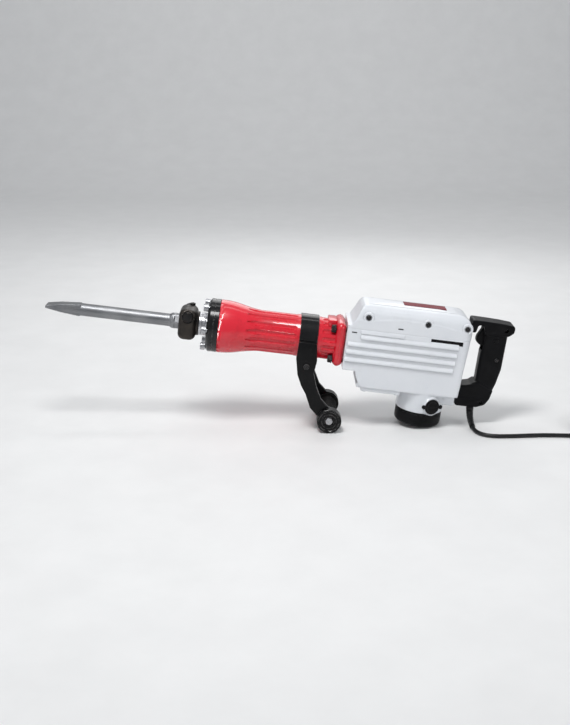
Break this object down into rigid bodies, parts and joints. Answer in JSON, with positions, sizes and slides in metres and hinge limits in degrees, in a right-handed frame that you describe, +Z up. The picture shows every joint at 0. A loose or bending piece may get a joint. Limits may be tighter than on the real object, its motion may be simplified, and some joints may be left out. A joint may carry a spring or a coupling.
{
  "type": "demolition hammer",
  "caption": "Electric demolition hammer with a flat chisel, red fluted barrel, white housing over an upright motor, swivelling side handle and D-shaped rear handle, mains cord coiled.",
  "frame": {"origin": "centre of the tool's box without the cord, on the plane it stands on", "axes": "+X from the chisel to the rear handle, level; +Y to the tool's right; +Z up. The barrel axis rises 7 degrees towards the chisel at -X."},
  "size_m": [1.2661, 0.1742, 0.2773],
  "materials": {
    "chisel_steel": "forged, ground and lightly worn",
    "blackened_steel": "blackened forged steel",
    "black_steel": "black oxide",
    "bare_steel": "machined",
    "black_enamel": "gloss black enamel",
    "zinc_bolts": "zinc plated",
    "rubber": "matt",
    "red_enamel": "gloss red enamel on a casting",
    "aluminium": "die cast",
    "white_enamel": "satin white enamel on a casting",
    "dark_red_plate": "satin blank plate",
    "laminated_iron": "stacked sheet with varnish",
    "copper": "turned copper",
    "black_plastic": "moulded",
    "carbon": "pressed carbon",
    "rubber_black": "moulded rubber cover",
    "handle_plastic": "fine moulded grain",
    "side_arm_black": "satin black enamel, chipped at the ends",
    "grip_rubber": "moulded grip",
    "cord_rubber": "rubber sheathed cable",
    "plug_rubber": "moulded",
    "nickel": "nickel plated brass"
  },
  "bodies": {
    "frame": {"nose_block": "blackened_steel", "retainer_spring_plug": "black_steel", "tool_holder": "bare_steel", "front_cover": "black_enamel", "front_cover_bolts": "zinc_bolts", "front_seal": "rubber", "barrel": "red_enamel", "barrel_flange_bolts": "black_steel", "impact_damper": "rubber", "hammer_guide": "bare_steel", "cylinder": "bare_steel", "bearings": "bare_steel", "bearing_plate": "aluminium", "main_housing": "white_enamel", "top_cover": "white_enamel", "top_cover_screws": "black_steel", "bottom_cover": "white_enamel", "roof_plate": "dark_red_plate", "stator": "laminated_iron", "brush_holders": "black_plastic", "carbon_brushes": "carbon", "brush_caps": "black_plastic", "tail_cover": "rubber_black", "handle_left": "handle_plastic", "handle_right": "handle_plastic", "handle_screws": "zinc_bolts", "switch_body": "black_plastic", "cord_guard": "rubber", "cord_run": "cord_rubber", "cord_coil": "cord_rubber", "cord_tail": "cord_rubber", "cord_tie": "black_plastic", "plug_body": "plug_rubber", "plug_pins": "nickel"},
    "bit": {"chisel": "chisel_steel"},
    "retainer": {"retainer_lever": "black_steel"},
    "hammer": {"second_hammer": "bare_steel"},
    "striker": {"striker": "bare_steel"},
    "piston": {"piston": "aluminium", "piston_ring": "rubber", "wrist_pin": "bare_steel"},
    "crank": {"crankshaft": "bare_steel", "crank_gear": "bare_steel"},
    "rod": {"connecting_rod": "bare_steel", "big_end_bearing": "bare_steel"},
    "countershaft": {"countershaft": "bare_steel", "first_gear": "bare_steel"},
    "armature": {"armature_shaft": "bare_steel", "armature_core": "laminated_iron", "commutator": "copper", "fan": "black_plastic"},
    "side_handle": {"side_strap": "black_enamel", "side_arms": "side_arm_black", "side_grip": "grip_rubber", "side_grip_rod": "zinc_bolts", "side_screws": "zinc_bolts"},
    "trigger": {"trigger": "handle_plastic"},
    "lock": {"lock_button": "black_plastic"}
  },
  "joints": [
    {"name": "chisel_slide", "type": "slide", "parent": "frame", "child": "bit", "axis": [-0.9925, 0, 0.1219], "range_m": [0, 0.025]},
    {"name": "retainer_turn", "type": "hinge", "parent": "frame", "child": "retainer", "pos_m": [-0.19553, 0, 0.24421], "axis": [0, 1, 0], "range_deg": [0, 180]},
    {"name": "second_hammer_slide", "type": "slide", "parent": "frame", "child": "hammer", "axis": [-0.9925, 0, 0.1219], "range_m": [0, 0.012]},
    {"name": "striker_slide", "type": "slide", "parent": "frame", "child": "striker", "axis": [-0.9925, 0, 0.1219], "range_m": [0, 0.02]},
    {"name": "piston_slide", "type": "slide", "parent": "frame", "child": "piston", "axis": [-0.9925, 0, 0.1219], "range_m": [0, 0.032]},
    {"name": "crank_turn", "type": "hinge", "parent": "frame", "child": "crank", "pos_m": [0.20426, 0, 0.17699], "axis": [0.1219, 0, 0.9925], "continuous": true},
    {"name": "rod_turn", "type": "hinge", "parent": "crank", "child": "rod", "pos_m": [0.22014, 0, 0.17504], "axis": [0.1219, 0, 0.9925], "continuous": true},
    {"name": "countershaft_turn", "type": "hinge", "parent": "frame", "child": "countershaft", "pos_m": [0.26183, 0, 0.16992], "axis": [0.1219, 0, 0.9925], "continuous": true},
    {"name": "armature_turn", "type": "hinge", "parent": "frame", "child": "armature", "pos_m": [0.31543, 0, 0.16334], "axis": [0.1219, 0, 0.9925], "continuous": true},
    {"name": "side_handle_turn", "type": "hinge", "parent": "frame", "child": "side_handle", "pos_m": [0.05687, 0, 0.19508], "axis": [0.9925, 0, -0.1219], "continuous": true},
    {"name": "trigger_press", "type": "slide", "parent": "frame", "child": "trigger", "axis": [0.9925, 0, -0.1219], "range_m": [0, 0.008], "stiffness_N_per_m": 800, "springref_m": -0.004},
    {"name": "lock_press", "type": "slide", "parent": "frame", "child": "lock", "axis": [0, 1, 0], "range_m": [0, 0.0025], "stiffness_N_per_m": 500, "springref_m": -0.002}
  ],
  "couplings": [
    {"joint": "rod_turn", "follows": "crank_turn", "ratio": -1},
    {"joint": "countershaft_turn", "follows": "crank_turn", "ratio": -2.625},
    {"joint": "armature_turn", "follows": "crank_turn", "ratio": 13.125}
  ]
}
